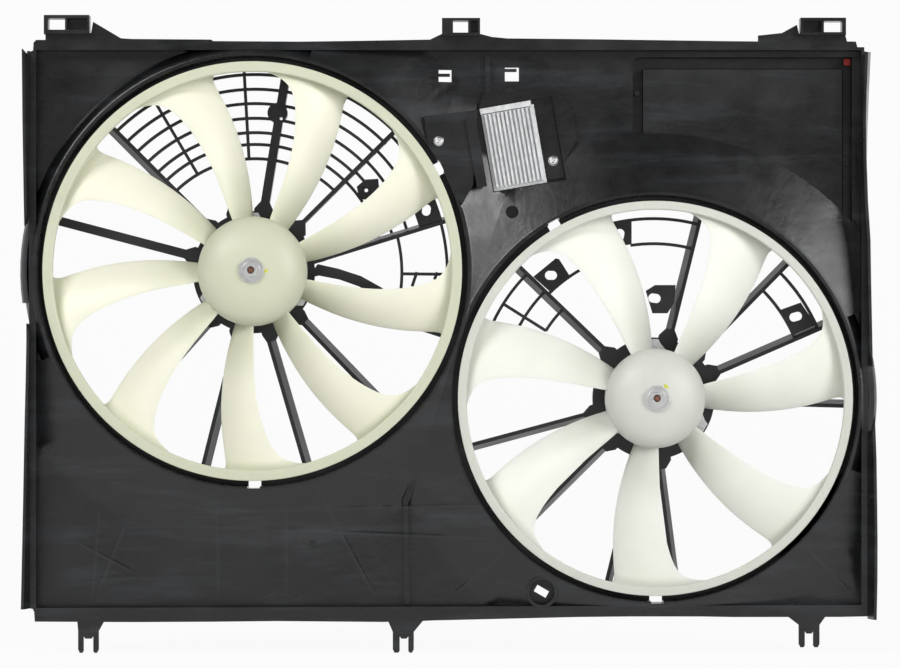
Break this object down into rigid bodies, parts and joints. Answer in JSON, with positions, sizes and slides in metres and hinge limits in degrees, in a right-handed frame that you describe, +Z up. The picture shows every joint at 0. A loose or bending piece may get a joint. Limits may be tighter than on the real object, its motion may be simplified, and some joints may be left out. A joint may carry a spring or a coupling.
{
  "type": "radiator_fan_shroud",
  "caption": "Twin radiator fan shroud: black moulded plenum with two cream ring fans on brush motors and a finned control module",
  "frame": {"origin": "middle of the bottom flange, on its front face, the face that lies on the radiator", "axes": "+X to the right seen from the front, +Y to the rear away from the radiator, +Z up"},
  "size_m": [0.7474, 0.0888, 0.5543],
  "materials": {
    "black_plastic": "moulded glass-filled nylon, satin black",
    "cream_plastic": "moulded unpigmented nylon, cream, slightly translucent",
    "red_plastic": "moulded acetal, red",
    "cast_aluminium": "die cast, bare",
    "zinc_steel": "pressed or turned steel, zinc plated",
    "bearing_steel": "ground steel",
    "spring_steel": "rolled spring strip",
    "core_steel": "stacked electrical steel sheets",
    "ferrite": "sintered ferrite",
    "carbon": "pressed carbon copper",
    "card_plastic": "moulded phenolic resin, brown",
    "seal_rubber": "moulded silicone rubber",
    "board_laminate": "glass epoxy board, green",
    "enamelled_copper": "enamelled copper wire",
    "copper": "machined copper"
  },
  "bodies": {
    "shroud": {"shroud_panel": "black_plastic", "left_stator": "black_plastic", "right_stator": "black_plastic", "left_rear_rim": "black_plastic", "right_rear_rim": "black_plastic", "left_guard": "black_plastic", "right_guard": "black_plastic", "corner_cover": "black_plastic", "cover_clip": "red_plastic", "module_heat_sink": "cast_aluminium", "module_gasket": "seal_rubber", "module_housing": "black_plastic", "module_circuit_board": "board_laminate", "module_cover": "black_plastic", "module_connector": "black_plastic", "module_screws": "zinc_steel", "motor_screws": "zinc_steel", "left_motor_can": "zinc_steel", "left_motor_end_plate": "zinc_steel", "left_mount_plate": "zinc_steel", "left_magnets": "ferrite", "left_front_bearing": "bearing_steel", "left_rear_bearing": "bearing_steel", "left_brush_card": "card_plastic", "left_brushes": "carbon", "left_brush_springs": "spring_steel", "left_motor_socket": "black_plastic", "right_motor_can": "zinc_steel", "right_motor_end_plate": "zinc_steel", "right_mount_plate": "zinc_steel", "right_magnets": "ferrite", "right_front_bearing": "bearing_steel", "right_rear_bearing": "bearing_steel", "right_brush_card": "card_plastic", "right_brushes": "carbon", "right_brush_springs": "spring_steel", "right_motor_socket": "black_plastic"},
    "left_rotor": {"left_fan": "cream_plastic", "left_hub_insert": "zinc_steel", "left_fan_nut": "zinc_steel", "left_shaft": "bearing_steel", "left_armature_core": "core_steel", "left_windings": "enamelled_copper", "left_commutator": "copper"},
    "right_rotor": {"right_fan": "cream_plastic", "right_hub_insert": "zinc_steel", "right_fan_nut": "zinc_steel", "right_shaft": "bearing_steel", "right_armature_core": "core_steel", "right_windings": "enamelled_copper", "right_commutator": "copper"}
  },
  "joints": [
    {"name": "left_fan_spin", "type": "hinge", "parent": "shroud", "child": "left_rotor", "pos_m": [-0.172, 0, 0.2974], "axis": [0, 1, 0], "continuous": true},
    {"name": "right_fan_spin", "type": "hinge", "parent": "shroud", "child": "right_rotor", "pos_m": [0.1786, 0, 0.1867], "axis": [0, 1, 0], "continuous": true}
  ]
}
